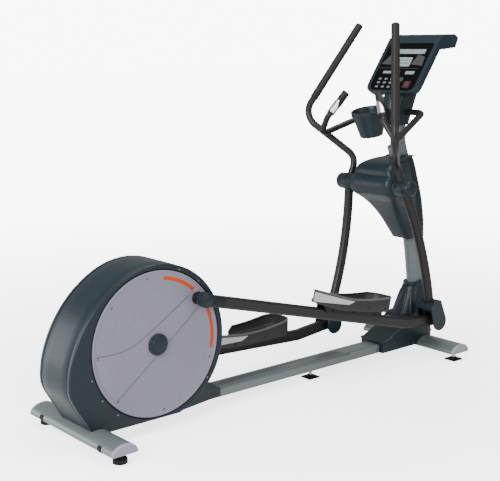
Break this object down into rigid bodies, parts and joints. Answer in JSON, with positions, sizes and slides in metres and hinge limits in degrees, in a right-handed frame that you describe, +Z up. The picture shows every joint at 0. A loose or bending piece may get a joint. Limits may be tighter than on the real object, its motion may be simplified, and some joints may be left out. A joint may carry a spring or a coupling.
{
  "type": "elliptical trainer",
  "caption": "Rear-drive elliptical trainer: drum housing with crank discs, floor rail, leaning mast with swing arms and pedals, fixed pulse handles, cup holder and console.",
  "frame": {"origin": "on the floor, below the centre of the bounding box", "axes": "+X forwards from the drum housing to the console, +Y to the user's left, +Z up"},
  "size_m": [2.2255, 0.7922, 1.6795],
  "materials": {
    "frame_silver": "satin silver paint",
    "cap_grey": "light lilac-grey plastic, satin",
    "foot_black": "black rubber",
    "zinc": "zinc-plated steel",
    "wheel_black": "black tyre on a plastic hub",
    "stand_steel": "dark grey paint",
    "cast": "machined and painted iron",
    "pulley": "cast and machined aluminium",
    "belt": "ribbed black rubber belt",
    "disc_grey": "light lilac-grey moulding, satin",
    "slate": "dark slate-blue moulding, satin",
    "bronze": "dark bronze-grey semi-gloss paint",
    "grip": "dark soft grip sleeve",
    "sensor": "polished contact plates",
    "face": "near-black overlay",
    "lcd": "greenish grey display window",
    "key_green": "soft key",
    "key_red": "soft key",
    "pedal": "dark grey moulding with grey rim",
    "pin_black": "black satin"
  },
  "bodies": {
    "frame": {"rear_rail": "frame_silver", "front_rail": "frame_silver", "rear_stabilizer": "frame_silver", "front_stabilizer": "frame_silver", "stabilizer_end_caps": "cap_grey", "round_feet": "foot_black", "square_feet": "foot_black", "foot_studs": "zinc", "wheel_forks": "zinc", "wheel_axles": "zinc", "mast": "frame_silver", "pivot_axle": "zinc", "drive_stand": "stand_steel", "crank_bearings": "cast", "brake_unit": "cast", "drive_belt": "belt", "housing_band": "slate", "housing_cover_right": "slate", "housing_cover_left": "slate", "rail_fairing": "slate", "base_cover": "slate", "shroud_front": "slate", "shroud_rear": "slate", "neck_cover": "slate", "fixed_handlebar": "bronze", "pulse_grips": "grip", "pulse_sensors": "sensor", "cup_holder": "slate", "console_shell": "slate", "console_face": "face", "console_display": "lcd", "cover_screws": "zinc"},
    "crank": {"crank_axle": "zinc", "crank_arms": "stand_steel", "drive_pulley": "pulley", "crank_disc_right": "disc_grey", "crank_disc_left": "disc_grey", "crank_hub_caps": "slate", "crank_pin_bosses": "pin_black"},
    "flywheel_body": {"flywheel": "cast"},
    "wheel_right": {"transport_wheel_right": "wheel_black"},
    "wheel_left": {"transport_wheel_left": "wheel_black"},
    "start_key_body": {"start_key": "key_green"},
    "stop_key_body": {"stop_key": "key_red"},
    "swing_right": {"swing_arm_right": "bronze", "swing_grip_right": "grip", "hub_cover_right": "slate", "joint_cover_right": "slate", "joint_pin_right": "zinc"},
    "pedal_right": {"pedal_arm_right": "bronze", "arm_head_right": "slate", "foot_pedal_right": "pedal"},
    "swing_left": {"swing_arm_left": "bronze", "swing_grip_left": "grip", "hub_cover_left": "slate", "joint_cover_left": "slate", "joint_pin_left": "zinc"},
    "pedal_left": {"pedal_arm_left": "bronze", "arm_head_left": "slate", "foot_pedal_left": "pedal"}
  },
  "joints": [
    {"name": "crank_spin", "type": "hinge", "parent": "frame", "child": "crank", "pos_m": [-0.691, 0, 0.3825], "axis": [0, 1, 0], "continuous": true},
    {"name": "flywheel_spin", "type": "hinge", "parent": "frame", "child": "flywheel_body", "pos_m": [-0.916, 0, 0.252], "axis": [0, 1, 0], "continuous": true},
    {"name": "swing_arm_right_pivot", "type": "hinge", "parent": "frame", "child": "swing_right", "pos_m": [0.711, -0.184, 0.896], "axis": [0, -1, 0], "range_deg": [-35.3, 7.6]},
    {"name": "swing_arm_left_pivot", "type": "hinge", "parent": "frame", "child": "swing_left", "pos_m": [0.711, 0.184, 0.896], "axis": [0, -1, 0], "range_deg": [-7.6, 35.3]},
    {"name": "pedal_arm_right_joint", "type": "hinge", "parent": "swing_right", "child": "pedal_right", "pos_m": [0.93937, -0.184, 0.20264], "axis": [0, -1, 0], "range_deg": [-10.72, 49.61]},
    {"name": "pedal_arm_left_joint", "type": "hinge", "parent": "swing_left", "child": "pedal_left", "pos_m": [0.56541, 0.184, 0.18067], "axis": [0, -1, 0], "range_deg": [-49.61, 10.72]},
    {"name": "transport_wheel_right_spin", "type": "hinge", "parent": "frame", "child": "wheel_right", "pos_m": [-1.038, -0.232, 0.049], "axis": [0, 1, 0], "continuous": true},
    {"name": "transport_wheel_left_spin", "type": "hinge", "parent": "frame", "child": "wheel_left", "pos_m": [-1.038, 0.232, 0.049], "axis": [0, 1, 0], "continuous": true},
    {"name": "start_key_press", "type": "slide", "parent": "frame", "child": "start_key_body", "axis": [0.8161, 0, -0.5779], "range_m": [0, 0.0012], "stiffness_N_per_m": 800},
    {"name": "stop_key_press", "type": "slide", "parent": "frame", "child": "stop_key_body", "axis": [0.8161, 0, -0.5779], "range_m": [0, 0.0012], "stiffness_N_per_m": 800}
  ],
  "couplings": [
    {"joint": "flywheel_spin", "follows": "crank_spin", "ratio": 5.8929},
    {"joint": "swing_arm_left_pivot", "follows": "swing_arm_right_pivot", "ratio": -1},
    {"joint": "pedal_arm_right_joint", "follows": "swing_arm_right_pivot", "ratio": -1.404},
    {"joint": "pedal_arm_left_joint", "follows": "swing_arm_right_pivot", "ratio": 1.404}
  ]
}
